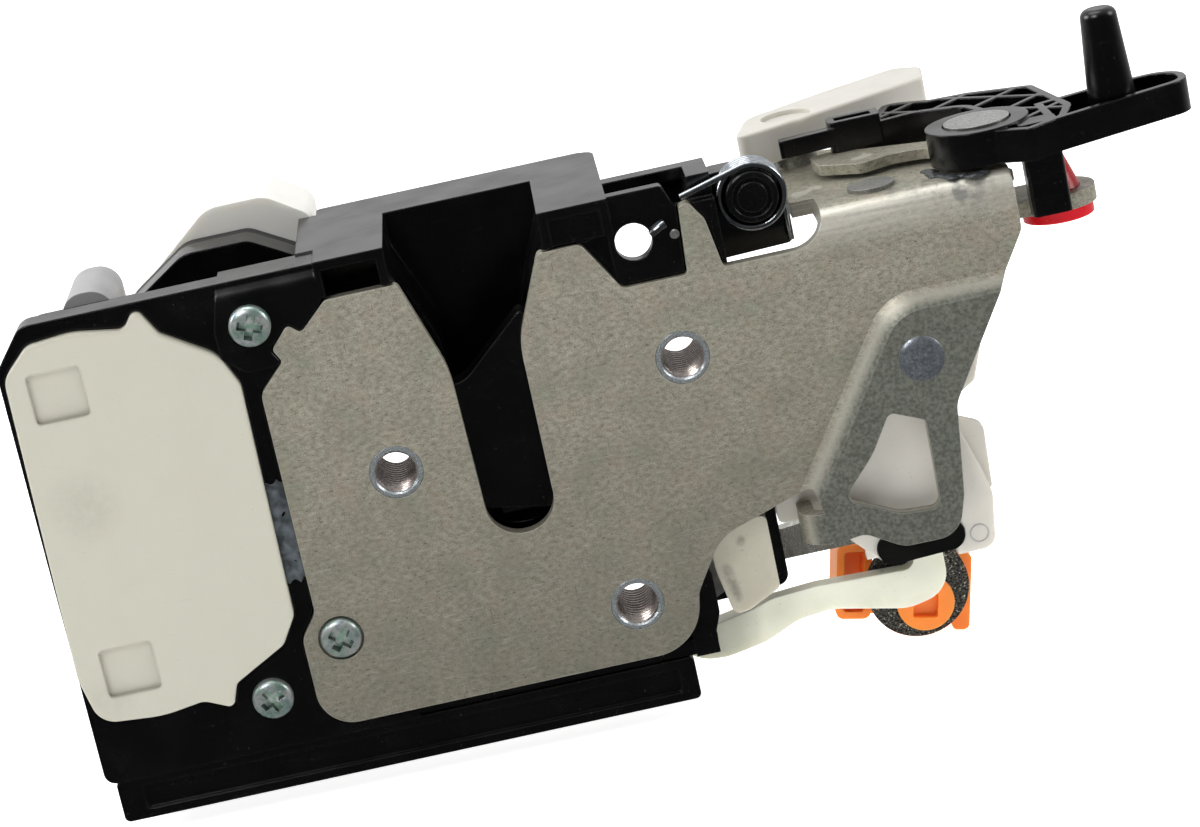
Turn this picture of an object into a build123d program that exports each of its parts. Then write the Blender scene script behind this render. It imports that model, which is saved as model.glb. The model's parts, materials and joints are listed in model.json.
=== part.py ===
from build123d import *
import math
import os

os.makedirs("parts", exist_ok=True)

# Vehicle door latch with its lock actuator, in millimetres.
# Origin: centre of the rounded end of the striker slot, on the outer face of the face plate.
# +X runs along the plate, -Y is the outward normal of the plate, +Z points out of the striker mouth.

# Sheet steel and clearances
sheet = 2.5                 # thickness of the face plate and of the back plate
running = 0.05              # radial clearance of a pin in its lever
seat = 0.05                 # radial clearance of a staked or pressed round seat
air = 0.4                   # gap between pieces that pass each other

# Striker mouth
slot_half = 5.6             # half width of the slot, and radius of its end
mouth_left = -12.5          # left wall of the mouth at the hood
mouth_right = 12.6
mouth_depth = 25.7          # from the face of the plate to the back wall of the throat

# Threaded bushes for the three M8 door screws
thread_r = 3.325            # minor radius of the M8 thread
stake_r = 4.4               # staked end that shows in the plate
bush_r = 5.5                # body that the claw and the pawl turn on
claw_x, claw_z = -18.5, 9.1
pawl_x, pawl_z = 15.2, -21.8
spacer_x, spacer_z = 30.8, 17.7
bush_places = [(claw_x, claw_z), (pawl_x, pawl_z), (spacer_x, spacer_z)]

# Depths of the layers, from the outer face of the plate
frame_depth = 12.5          # from the face plate to the back plate
claw_thick = 5.0
skin = 1.4                  # plastic over the front of the claw
claw_front = sheet + 0.5
claw_rear = claw_front + claw_thick
floor_front = claw_rear + 1.0
back_front = sheet + frame_depth
back_rear = back_front + sheet
pawl_front = claw_front + 0.2
pawl_rear = claw_rear - 0.2
pawl_drop = 9.0             # degrees from riding on the claw down to holding it
well_r = 8.4                # wells of the claw and pawl springs
well_rear = 14.0

# Claw, in its own frame: u runs along the jaw, w square to it
jaw_angle = 41.2            # direction of the jaw when the claw is open
jaw_reach = 33.0
throat_root = 14.9
throat_width = 10.1
tooth_r = 31.5
notch_r = 26.0

# Moulded housing
case_left = -77.3
case_bottom = -33.5
case_top = 40.0             # of the block behind the top band
case_split = -24.0          # right wall of the motor compartment
hood_left = -27.0
hood_top = 46.0
hood_right = 24.0
hood_depth = 40.0
block_front = 1.0
block_top = 45.7
band_depth = 6.5            # of the low top face left of the shoulder
shoulder_front = 0.0
block_rear = 33.0
wall = 2.0
cover_seat = 3.4            # depth that the cover is let in
bumper_half = 3.5
bumper_low = -7.6
bumper_front = 10.0
bumper_rear = 24.5

# Small screws and pins
screw_head_r = 3.4
screw_head_h = 1.9
screw_shank_r = 1.7
screw_end = 11.0
plate_screw = (-33.6, -16.6)
band_screw = (-35.9, 38.2)
corner_screw = (-46.9, -24.5)
pivot_r = 3.0               # rivets and studs that levers turn on
locator_x, locator_z = 26.9, 37.9
locator_r = 3.05
web = 2.5                   # web round the locator hole

# Raised arm and rear flange of the face plate
arm_step = 2.2
flange_top = 36.5
flange_right = 88.4
flange_left = 57.2
flange_depth = 30.0
ear_left = 53.2
ear_front = 10.0
ear_rear = 44.0

# Lever pivots on the flange
outside_x, outside_y = 85.6, 10.5
release_x, release_y = 66.6, 8.8
lock_x, lock_y = 57.4, 38.2
lock_pin_r = 2.5

# Lever pivot on the arm
stud_x, stud_z = 68.5, 9.6

# Outside lever
core_low = flange_top + 0.9
core_high = core_low + 1.8
lever_top = 42.8
boss_r = 8.5
rim = 1.3
post_x, post_y = 108.2, 11.6
post_base_r, post_tip_r = 3.9, 2.9
post_top = 57.0
rivet_head_r = 5.4

# Release lever under the flange
release_low = 26.2
release_thick = 2.6
tip_x, tip_y = 96.6, 13.2
tip_r = 6.6
rod_neck_r = 3.0
rod_bore_r = 2.0
rod_disc = 2.0              # thickness of the disc of the rod bushing
rod_disc_r = 5.9

# Lock lever
lock_low = 38.9
lock_high = 45.0

# Bellcrank, link, inside lever and rod clip, in depth from the face
crank_front = sheet + air
crank_thick = 4.1
crank_rear = crank_front + crank_thick
link_thick = 3.0
link_front = crank_rear + 1.0
link_rear = link_front + link_thick
link_back_front = back_rear + 0.5
felt_thick = 2.0
felt_front = link_rear + 0.5
inside_front = felt_front + felt_thick + 0.1
inside_rear = inside_front + sheet
clip_x, clip_z = 62.8, -36.5
clip_r = 4.9
clip_neck_r = 3.4
clip_turn = -12.0           # tilt of the clip in its lever
felt_x, felt_z = 62.0, -33.6
felt_r = 8.7
crank_pin_x, crank_pin_z = 63.5, -22.8
crank_pin_r = 1.5

# Lock drive
wheel_x, wheel_z = -42.0, -6.0
wheel_r = 12.0
wheel_teeth = 24
wheel_thick = 3.2
wheel_front = link_back_front + link_thick + 0.4
eccentric = 7.0
wheel_turn = 57.0           # degrees from locked to unlocked
worm_r = 3.2
motor_r = 7.6
motor_low, motor_high = 7.0, 35.0
worm_x = wheel_x - wheel_r - worm_r - 0.3
worm_y = wheel_front + wheel_thick / 2

# Rear case, gasket and connector
gasket_thick = 3.0
rear_depth = 22.0
rear_wall = 1.8
rear_front = block_rear + gasket_thick
rear_back = rear_front + rear_depth
socket_depth = 19.0
board_front = rear_front + 6.0
board_rear = board_front + 1.6

# Torsion spring on its stud
coil_x, coil_z = 47.0, 40.9
coil_r = 5.2
coil_wire = 1.1
coil_turns = 4.29           # ends over the tab of the face plate
coil_rear = 6.9
coil_pitch = 1.12           # rise of each turn, in wire diameters


def outline(*corners):
    """Face from corners (a, b) or (a, b, radius of the rounded corner)."""
    points = [corner[:2] for corner in corners]
    radii = [corner[2] if len(corner) > 2 else 0 for corner in corners]
    return make_face(FilletPolyline(*points, radius=radii, close=True))


def box_face(left, right, low, high, corner=0):
    """Rectangle between two values each way, with rounded corners."""
    return outline((left, low, corner), (right, low, corner), (right, high, corner), (left, high, corner))


def slab(face, front, rear):
    """Solid of a front view outline between two depths."""
    return extrude(Plane.XZ.offset(-rear) * face, rear - front, dir=(0, -1, 0))


def layer(face, low, high):
    """Solid of a plan view outline between two heights."""
    return extrude(Plane.XY.offset(low) * face, high - low, dir=(0, 0, 1))


def rod(x, z, radius, front, rear):
    """Cylinder along the depth."""
    return slab(Pos(x, z) * Circle(radius), front, rear)


def pin(x, y, radius, low, high):
    """Upright cylinder."""
    return layer(Pos(x, y) * Circle(radius), low, high)


def ring(x, z, outer, inner, front, rear):
    """Tube along the depth."""
    return slab(Pos(x, z) * (Circle(outer) - Circle(inner)), front, rear)


def polar(radius, degrees):
    """Point at a radius and an angle from the origin."""
    return radius * math.cos(math.radians(degrees)), radius * math.sin(math.radians(degrees))


def torsion_spring(wire, turns, radius, first_leg, last_leg):
    """Close wound coil along Z from z = 0, with a straight tangent leg at each end."""
    pitch = wire * coil_pitch
    path = Helix(pitch, pitch * turns, radius, center=(0, 0, 0), direction=(0, 0, 1))
    section = Plane(path @ 0, z_dir=path % 0) * Circle(wire / 2)
    coil = sweep(section, path=path, is_frenet=True)
    start = extrude(Plane(path @ 0, z_dir=path % 0) * Circle(wire / 2), -first_leg)
    end = extrude(Plane(path @ 1, z_dir=path % 1) * Circle(wire / 2), last_leg)
    return coil + start + end


# Face plate

def plate_outline():
    """Flat outline of the face plate, up to where its flange bends back."""
    return outline(
        (-23.4, 39.6, 1.5), (-28.2, 35.2, 0.8), (-30.2, 36.9, 0.8), (-33.4, 33.4, 0.8), (-32.2, 31.2, 0.8),
        (-36.8, 26.6, 2.5), (-36.8, -11.5, 3), (-39.8, -15.5, 3), (-39.8, -31.5, 6),
        (25.2, -31.5, 8.5), (25.2, -22.5, 5), (30.8, -13.6, 8), (47.2, -8.2, 0.8), (48.2, -13.0, 0.4),
        (48.6, -18.4, 0.8), (54.0, -17.6, 3), (60.0, -21.2, 5), (69.3, -21.2, 4.5), (71.2, -14.5, 8),
        (72.8, 1.0, 5), (flange_right, 26.6, 3), (flange_right, flange_top - 4), (50.0, flange_top - 4),
        (50.0, 31.0), (40.2, 31.0, 0.8), (38.8, 39.2, 1.5), (36.6, 42.6, 0.6), (35.0, 42.2, 0.6),
        (34.3, 31.0, 0.8), (23.6, 31.0, 1.5), (18.4, 39.6, 1.5), (11.4, 39.6, 1), (slot_half, 26.0, 14),
        (slot_half, -slot_half, slot_half - 0.05), (-slot_half, -slot_half, slot_half - 0.05),
        (-slot_half - 0.8, 24.0, 20), (-11.6, 39.6, 1.2),
    )


def step_region(offset_in, corner):
    """Area of the raised arm, drawn well past the edges of the plate."""
    return outline(
        (100, 20.6 - offset_in), (64.5 + offset_in / 2, 20.6 - offset_in, corner),
        (42.0 + offset_in * 1.4, -13.5), (42.0 + offset_in * 1.4, -45), (100, -45),
    )


def step_solid(depth):
    """Raised pad whose foot lies at a depth, with a sloping edge along the step."""
    foot = Plane.XZ.offset(-depth) * step_region(0, 9)
    crown = Plane.XZ.offset(arm_step - depth) * step_region(2.9, 7.5)
    return loft([foot, crown], ruled=True)


def rear_flange():
    """Flange that bends back from the top of the plate and carries the levers."""
    profile = outline(
        (0, 31), (0, flange_top, 4), (60, flange_top), (60, flange_top - sheet),
        (sheet, flange_top - sheet, 1.5), (sheet, 31),
    )
    bend = extrude(Plane.YZ.offset(50) * profile, flange_right - 50, dir=(1, 0, 0))
    plan = outline(
        (ear_left, -1), (flange_right, -1), (flange_right, flange_depth, 4), (70, flange_depth, 6),
        (64.5, ear_rear, 4), (ear_left, ear_rear, 4),
    )
    return bend & layer(plan, 30, flange_top + 1)


def hook_tab():
    """Tab at the foot of the arm, curled to the rear."""
    plan = outline(
        (50.2, -arm_step), (44.3, -arm_step, 4.2), (44.3, 6.9), (44.3 + sheet, 6.9),
        (44.3 + sheet, sheet - arm_step, 1.7), (50.2, sheet - arm_step),
    )
    return layer(plan, -18.0, -12.8)


def make_face_plate():
    blank = plate_outline()
    plate = slab(blank, 0, sheet)
    plate += step_solid(0) & slab(blank, -arm_step, 0)
    plate -= step_solid(sheet)
    plate += rear_flange()
    plate += hook_tab()
    corner = outline((47, 52), (47, 31), (flange_left, 31, 5.5), (flange_left, 52))
    plate -= slab(corner, -1, ear_front)
    window = outline(
        (61.6, 1.8, 1.2), (67.3, -0.7, 1), (67.2, -16.0, 1.6), (60.5, -15.6, 6), (51.6, -11.2, 1.6),
        (57.8, -4.5, 15),
    )
    plate -= slab(window, -arm_step - 1, sheet)
    for x, z in bush_places:
        plate -= rod(x, z, stake_r + seat, -1, sheet + 1)
    plate -= rod(*plate_screw, screw_shank_r + 0.3, -1, sheet + 1)
    plate -= rod(*plate_screw, screw_head_r + 0.4, -1, 0.9)
    plate -= rod(stud_x, stud_z, pivot_r + seat, -arm_step - 1, sheet + 1)
    plate -= pin(outside_x, outside_y, pivot_r + seat, 30, flange_top + 1)
    plate -= pin(release_x, release_y, pivot_r + seat, 30, flange_top + 1)
    plate -= pin(lock_x, lock_y, lock_pin_r + seat, 30, flange_top + 1)
    return plate


def make_bush(x, z):
    """Threaded bush staked into both plates. Its middle is the bearing."""
    bush = rod(x, z, stake_r, 0, back_rear)
    bush += rod(x, z, bush_r, sheet, back_front)
    return bush - rod(x, z, thread_r, -1, back_rear + 1)


def make_back_plate():
    """Steel plate behind the mechanism, open upward round the throat."""
    plate = slab(outline(
        (case_split + 0.1, 18.0, 4), (case_split + 0.1, -29.5, 4), (23.0, -29.5, 5), (39.5, 6.0, 6),
        (39.5, 26.0, 6), (22.5, 26.0, 5),
        (13.5, 6.0, 5), (12.0, -11.0, 4), (-11.5, -11.0, 4), (-11.5, 18.0, 3),
    ), back_front, back_rear)
    for x, z in bush_places:
        plate -= rod(x, z, stake_r + seat, back_front - 1, back_rear + 1)
    return plate


# Moulded housing

def throat_outline(grow=0):
    """Section of the striker throat, or of its wall when grown."""
    low = -slot_half - 0.9 - grow
    side = slot_half + 0.8 + grow
    return outline(
        (mouth_left - grow, hood_top + 2), (mouth_left - grow, 41.0, 3), (-side - 0.6, 27.0, 10),
        (-side, low, side - 0.1), (side, low, side - 0.1), (side + 0.4, 27.0, 10),
        (mouth_right + grow, 41.0, 3), (mouth_right + grow, hood_top + 2),
    )


def cover_outline():
    """Outline of the cream cover over the motor compartment."""
    return outline(
        (-76.2, 38.0, 4), (-71.5, 42.6, 3), (-64.0, 43.2, 12), (-55.6, 41.8, 2), (-53.3, 45.2, 1.2),
        (-50.4, 40.0, 2), (-42.0, 34.6, 6), (-39.6, 29.0, 3), (-40.2, -11.0, 2), (-43.0, -15.6, 2.5),
        (-52.0, -20.4, 1.5), (-53.4, -24.4, 1.0), (-58.0, -22.2, 3), (-65.0, -23.2, 20), (-75.4, -22.2, 4),
        (-77.2, -14.0, 8),
    )


def make_housing():
    lower_block = outline(
        (case_left, case_bottom, 2), (case_split, case_bottom), (case_split, case_top),
        (-74.0, case_top, 3), (case_left, case_top - 4, 3),
    )
    top_band = outline(
        (case_left, 30.0), (case_split, 30.0), (case_split, block_top), (-72.0, block_top, 3),
        (case_left, 39.0, 3),
    )
    housing = slab(lower_block, block_front, block_rear)
    housing += slab(top_band, block_front, band_depth)
    housing += shoulder()
    housing += slab(gasket_outline(), block_rear - 7, block_rear)
    centre = outline(
        (case_split, case_bottom), (26.9, case_bottom, 1.5), (27.4, -27.4), (40.9, -27.0, 2), (40.9, 31.0),
        (hood_right, 31.0), (hood_right, hood_top), (case_split, hood_top),
    )
    housing += slab(centre, sheet, back_front)
    housing += slab(box_face(case_split, hood_right, 40.0, hood_top), 0, back_front)
    housing += slab(box_face(hood_left, case_split, 41.5, hood_top), 9.0, rear_front - 0.5)
    tunnel = outline(
        (case_split, hood_top), (case_split, 38.5, 2), (-14.5, 31.5, 5), (-10.6, 20.0, 8), (-9.4, -9.4, 7),
        (9.4, -9.4, 7), (10.2, 20.0, 8), (14.0, 31.5, 5), (hood_right, 37.0, 2), (hood_right, hood_top),
    )
    plan = outline(
        (case_split, back_front), (hood_right, back_front), (hood_right, hood_depth, 3.5),
        (case_split, hood_depth, 1),
    )
    housing += slab(tunnel, back_front, hood_depth) & layer(plan, -20, hood_top)
    housing -= slab(offset(tunnel, -wall) - throat_outline(wall), back_front + wall, hood_depth + 1)
    housing -= slab(offset(tunnel, -wall), mouth_depth + wall, hood_depth + 1)
    housing += slab(box_face(-1.0, 1.0, -9.0, hood_top - 1), mouth_depth, hood_depth - 3)
    housing -= slab(box_face(-23.0, mouth_left - 1.5, 39.0, hood_top - 1.6), -1, 10.0)
    housing -= slab(box_face(mouth_right + 1.5, hood_right - 1.5, 39.0, hood_top - 1.6), -1, 0.6)
    housing += right_extension()
    housing -= slab(offset(plate_outline(), 0.3), -1, sheet)
    housing -= slab(throat_outline(), -1, mouth_depth)
    housing -= mechanism_pocket()
    housing -= motor_compartment()
    housing -= slab(offset(cover_outline(), 0.15), -1, cover_seat)
    housing -= slab(box_face(-bumper_half, bumper_half, bumper_low, 0), bumper_front, bumper_rear)
    for x, z in bush_places:
        housing -= rod(x, z, bush_r + seat, sheet, back_front)
    for x, z in (band_screw, corner_screw, plate_screw):
        housing -= rod(x, z, screw_shank_r, -1, screw_end)
    return housing + pawl_guard()


def pawl_guard():
    """Low wall in front of the arm of the pawl, beside the plate."""
    wall_face = outline(
        (23.0, -19.0), (28.2, -19.0, 1), (28.2, -26.6, 1), (27.0, -29.8, 1), (27.0, case_bottom),
        (23.0, case_bottom),
    )
    return slab(wall_face - offset(plate_outline(), 0.3), 1.2, sheet + 0.2)


def shoulder():
    """Raised end of the top band beside the hood, round along its upper edge."""
    block = slab(outline(
        (-39.8, block_top), (-41.7, 38.2, 2), (-41.7, 33.6, 2), (-38.2, 30.6, 2), (case_split, 30.6),
        (case_split, block_top),
    ), shoulder_front, 9.5)
    return fillet(block.faces().sort_by(Axis.Z)[-1].edges().sort_by(Axis.Y)[0], 3.4)


def right_extension():
    """Web with the locator hole, and the seat of the spring stud."""
    part = slab(outline(
        (hood_right - 1, 30.0), (41.0, 30.0), (41.0, 42.2), (34.4, 42.2, 1), (33.0, hood_top, 1),
        (hood_right - 1, hood_top),
    ), 1.0, 1.0 + web)
    part += slab(box_face(hood_right - 1, 41.0, hood_top - wall, hood_top), back_front - 3.5, back_front)
    part += slab(outline((33.8, 30.0), (36.0, 30.0), (39.5, hood_top), (37.3, hood_top)), 1.0 + web, back_front)
    part += slab(box_face(38.5, 41.0, 30.0, hood_top), 1.0 + web, back_front)
    part += slab(outline(
        (38.5, 30.0), (38.5, 44.0, 1), (42.0, 44.4, 2), (50.6, 44.4, 4), (52.6, 39.0, 4), (52.6, 30.4, 1),
    ), floor_front, back_front)
    part += slab(box_face(31.2, 41.0, 30.0, hood_top), back_front - wall, back_front)
    return part - rod(locator_x, locator_z, locator_r, 0, 1.0 + web + 1)


def mechanism_pocket():
    """Room for the claw, the pawl and their springs behind the face plate."""
    room = outline(
        (-31.4, 36.4, 6), (-31.4, -4.0, 4), (-29.5, -13.0, 4), (-29.5, -31.4, 4), (24.0, -31.4, 6),
        (24.0, -6.0, 6), (17.4, 4.0, 6), (17.4, 36.4, 5),
    )
    pocket = slab(room, sheet - 1, floor_front)
    pocket += slab(box_face(20.0, 42.0, -30.9, -9.0), sheet - 1, floor_front)
    pocket += slab(box_face(28.6, 42.0, -34.5, -9.0), floor_front + wall, back_front + 1)
    pocket += slab(box_face(24.5, 29.0, -34.5, -31.5), back_front - 2.5, back_front + 1)
    for x, z in bush_places[:2]:
        pocket += rod(x, z, well_r, floor_front, well_rear)
    return pocket


def motor_compartment():
    """Room for the motor, the worm wheel and the end of the link."""
    front_room = box_face(-74.5, -43.2, -19.0, case_top - wall, 3)
    rear_room = box_face(-74.5, case_split - wall - 1, -31.5, case_top - wall, 3)
    room = slab(front_room, cover_seat - 0.1, 13.0)
    room += slab(rear_room, 13.0, block_rear - wall)
    link_slot = box_face(case_split - wall - 5, case_split + 1, -32.0, -25.5)
    return room + slab(link_slot, link_back_front - 0.6, link_back_front + link_thick + 0.6)


def make_bumper():
    """Rubber block that the striker stops on."""
    return slab(box_face(-bumper_half, bumper_half, bumper_low, -4.6), bumper_front, bumper_rear)


def make_rail():
    """Bar under the housing with a long recessed panel."""
    rail = slab(box_face(-75.9, 22.4, -41.0, case_bottom - 0.1, 1), 2.0, 14.8)
    return rail - slab(box_face(-71.8, 19.5, -39.4, -35.2, 0.6), 0, 2.8)


def make_cover():
    """Shell over the motor compartment with two square recesses."""
    face = cover_outline()
    cover = slab(face, -0.5, cover_seat)
    cover = fillet(cover.faces().sort_by(Axis.Y)[0].edges(), 0.45)
    cover -= slab(offset(face, -1.8), 1.3, cover_seat + 1)
    for low in (29.5, -18.2):
        cover -= slab(box_face(-72.8, -64.0, low, low + 8.4, 0.8), -1, 0.4)
    return cover


def make_screws():
    """The three pan head screws."""
    screws = []
    seats = ((band_screw, shoulder_front), (corner_screw, block_front), (plate_screw, 0.9))
    for (x, z), face in seats:
        head = rod(x, z, screw_head_r, face - screw_head_h, face)
        head = fillet(head.edges().sort_by(Axis.Y)[0], 0.9)
        screws.append(head + rod(x, z, screw_shank_r - seat, face, screw_end - 1))
    return Compound(children=[screw.solid() for screw in screws])


# Rear case, gasket and connector

def rear_outline():
    return outline(
        (-57.5, -28.0, 4), (-24.8, -28.0, 4), (-24.8, 46.2, 3), (-32.0, 51.0, 5), (-42.0, 51.0, 6),
        (-57.5, 38.4, 5),
    )


def gasket_outline():
    return outline(
        (-58.5, -30.5, 5), (-26.0, -30.5, 5), (-26.0, 40.8, 2), (-35.5, 46.3, 4), (-46.5, 46.3, 5),
        (-58.5, 38.5, 5),
    )


def make_gasket():
    gasket = slab(gasket_outline(), block_rear, rear_front)
    return gasket - slab(box_face(-53.5, -31.5, -24.0, 38.0, 3), block_rear - 1, rear_front + 1)


def make_rear_case():
    case = slab(rear_outline(), rear_front, rear_back)
    case = fillet(case.faces().sort_by(Axis.Y)[-1].edges(), 3.5)
    room = offset(rear_outline(), -rear_wall)
    case -= slab(room & offset(gasket_outline(), -rear_wall), rear_front - 1, rear_front + rear_wall)
    case -= slab(room, rear_front + rear_wall, rear_back - rear_wall)
    for z in (-18.0, 32.0):
        case += rod(-42.5, z, 3.0, board_rear, rear_back - rear_wall + 0.5)
    return case


def make_board():
    """Control board on the bosses of the rear case."""
    return slab(box_face(-54.0, -31.0, -23.0, 38.0, 1), board_front, board_rear)


def make_socket():
    """Connector shroud, open to the rear."""
    outer = box_face(-69.6, -60.6, 20.0, 42.0, 4)
    socket = slab(outer, block_rear, block_rear + socket_depth)
    return socket - slab(offset(outer, -1.4), block_rear + 3.0, block_rear + socket_depth + 1)


def make_socket_pins():
    """Blade terminals in the connector."""
    blades = []
    for step in range(4):
        z = 24.5 + step * 4.2
        blades.append(slab(box_face(-65.9, -64.3, z, z + 0.8), block_rear + 3.0, block_rear + socket_depth - 6))
    return Compound(children=[blade.solid() for blade in blades])


# Lock drive

def make_motor():
    """Motor can with two flats, its shaft end down."""
    can = Circle(motor_r) & Rectangle(motor_r * 2, motor_r * 1.7)
    motor = layer(Pos(worm_x, worm_y) * can, motor_low, motor_high)
    motor += pin(worm_x, worm_y, 3.0, motor_low - 1.2, motor_low)
    return motor - pin(worm_x, worm_y, 1.0 + running, motor_low - 2, motor_low + 12)


def make_worm():
    """Motor shaft with its worm, as turned rings over the root."""
    shaft = pin(worm_x, worm_y, 1.0, -16.0, motor_low + 11.5)
    worm = shaft + pin(worm_x, worm_y, worm_r - 0.9, -14.5, 2.5)
    for turn in range(5):
        low = -13.0 + turn * 3.2
        thread = Pos(worm_x, worm_y, low) * Cone(worm_r, worm_r - 0.9, 0.8)
        worm += thread
    return worm


def make_wheel():
    """Worm wheel with an eccentric pin that moves the link."""
    wheel = rod(wheel_x, wheel_z, wheel_r - 1.2, wheel_front, wheel_front + wheel_thick)
    tooth = Pos(wheel_r - 1.0, 0) * Trapezoid(1.6, 2.0, 75, rotation=-90)
    for step in range(wheel_teeth):
        placed = Pos(wheel_x, wheel_z) * Rot(0, 0, step * 360 / wheel_teeth) * tooth
        wheel += slab(placed, wheel_front, wheel_front + wheel_thick)
    x, z = eccentric_place()
    wheel += rod(x, z, crank_pin_r, link_back_front + 0.2, wheel_front + 0.1)
    return wheel - rod(wheel_x, wheel_z, 2.0 + running, wheel_front - 5, wheel_front + 8)


def eccentric_place():
    """Place of the eccentric pin at rest, half the turn before its lowest point."""
    dx, dz = polar(eccentric, -90 - wheel_turn / 2)
    return wheel_x + dx, wheel_z + dz


def make_axle():
    return rod(wheel_x, wheel_z, 2.0, wheel_front - 0.3, block_rear - wall)


# Claw and pawl

def claw_outline():
    """Fork with its jaw, throat, hook and ratchet tooth, in the open position."""
    root = throat_root
    width = throat_width
    shape = outline(
        (jaw_reach, -0.4, 0.8), (root, -0.4, width / 2 - 0.2), (root, width - 0.4, width / 2 - 0.2),
        (22.3, width + 0.6, 0.8), (23.0, 13.8, 1.5), (17.2, 19.8, 6), (4.0, 19.5, 9), (-9.6, 7.0, 8),
        (-9.6, -9.6, 8), (1.0, -13.5, 8), (*polar(tooth_r, -66), 1.2), (*polar(tooth_r, -53), 0.6),
        (*polar(notch_r, -53), 1.0), (*polar(notch_r + 1.0, -35), 18), (*polar(notch_r, -16.5), 1.0),
        (*polar(jaw_reach + 0.2, -14), 1.5),
    )
    return Pos(claw_x, claw_z) * Rot(0, 0, jaw_angle) * shape


def tooth_zone():
    """Area of the tooth, where the steel is bare."""
    zone = outline((8, -40), (30, -40), (24, -13), (10, -16))
    return Pos(claw_x, claw_z) * Rot(0, 0, jaw_angle) * zone


def claw_core_outline():
    return offset(claw_outline(), -1.0) + (claw_outline() & tooth_zone())


def make_claw():
    claw = slab(claw_core_outline(), claw_front + skin, claw_rear)
    return claw - rod(claw_x, claw_z, bush_r + running, 0, claw_rear + 1)


def make_claw_cover():
    """Plastic moulded over the front and the edge of the claw."""
    cover = slab(claw_outline(), claw_front, claw_rear)
    cover -= slab(claw_core_outline(), claw_front + skin, claw_rear + 1)
    return cover - rod(claw_x, claw_z, bush_r + 0.4, 0, claw_rear + 1)


def make_pawl():
    """Detent, drawn where it holds the claw and turned back to where it rides clear."""
    shape = outline(
        (-18.8, -17.6, 0.6), (-18.8, -22.6, 0.8), (-8.0, -24.4, 10), (8.0, -29.6, 4), (19.0, -29.6, 6),
        (34.0, -24.6, 2), (34.0, -18.0, 2), (21.0, -15.0, 4), (9.5, -13.8, 5), (0.5, -19.6, 6),
        (-4.0, -17.6, 6),
    )
    about = Pos(pawl_x, pawl_z) * Rot(0, 0, pawl_drop) * Pos(-pawl_x, -pawl_z)
    pawl = slab(about * shape, pawl_front, pawl_rear)
    pawl -= slab(tail_outline(), 0, 30)
    pawl += slab(tail_core(), pawl_front + 1.0, pawl_rear - 1.0)
    return pawl - rod(pawl_x, pawl_z, bush_r + running, 0, claw_rear + 1)


def tail_core():
    """Steel tongue inside the moulded tail."""
    return box_face(27.0, 35.0, -22.0, -16.5)


def tail_outline():
    return outline(
        (28.6, -12.4, 1), (29.0, -20.0, 3), (30.6, -28.4, 1.4), (33.4, -27.9, 2), (38.9, -25.2, 1),
        (38.9, -12.4, 1),
    )


def make_tail():
    """Nylon block moulded on the end of the pawl."""
    tail = slab(tail_outline(), sheet + air, link_front - air)
    return tail - slab(tail_core(), pawl_front + 1.0, pawl_rear - 1.0)


def make_lever_guide():
    """Nylon block on the housing that the side arm of the inside lever slides past."""
    guide = slab(box_face(41.0, 51.0, -16.0, -6.0, 1), 7.6, 13.0)
    return guide - slab(box_face(43.0, 49.0, -14.0, -8.0, 0.5), 9.0, 14.0)


# Levers on the flange

def loop_outline():
    return outline((96.0, 1.0), (120.9, 9.8, 4.6), (120.9, 20.0, 5.2), (108.0, 18.9, 20), (96.0, 15.4))


def sector_outline():
    """Ribbed part of the outside lever behind its pivot."""
    return outline(
        (71.0, 31.0), (74.0, 39.9, 2), (76.5, 39.5, 3), (81.6, 36.2, 3), (88.0, 35.4, 4), (98.4, 30.6, 2),
        (101.3, 10.0, 6), (99.0, 2.6, 3), (92.3, -1.6, 1), (86.0, 3.0), (87.8, 18.0, 3), (85.5, 25.4, 4),
        (78.0, 28.8, 6), (71.0, 27.4),
    )


def diamond_ribs():
    """Two crossing sets of thin ribs, cut to the sector."""
    ribs = []
    for step in range(-3, 5):
        for slant in (43, -43):
            bar = Rectangle(90, 1.0)
            ribs.append(Pos(86 + step * 11.6, 22) * Rot(0, 0, slant) * bar)
    grid = ribs[0]
    for bar in ribs[1:]:
        grid += bar
    return grid & sector_outline()


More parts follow.
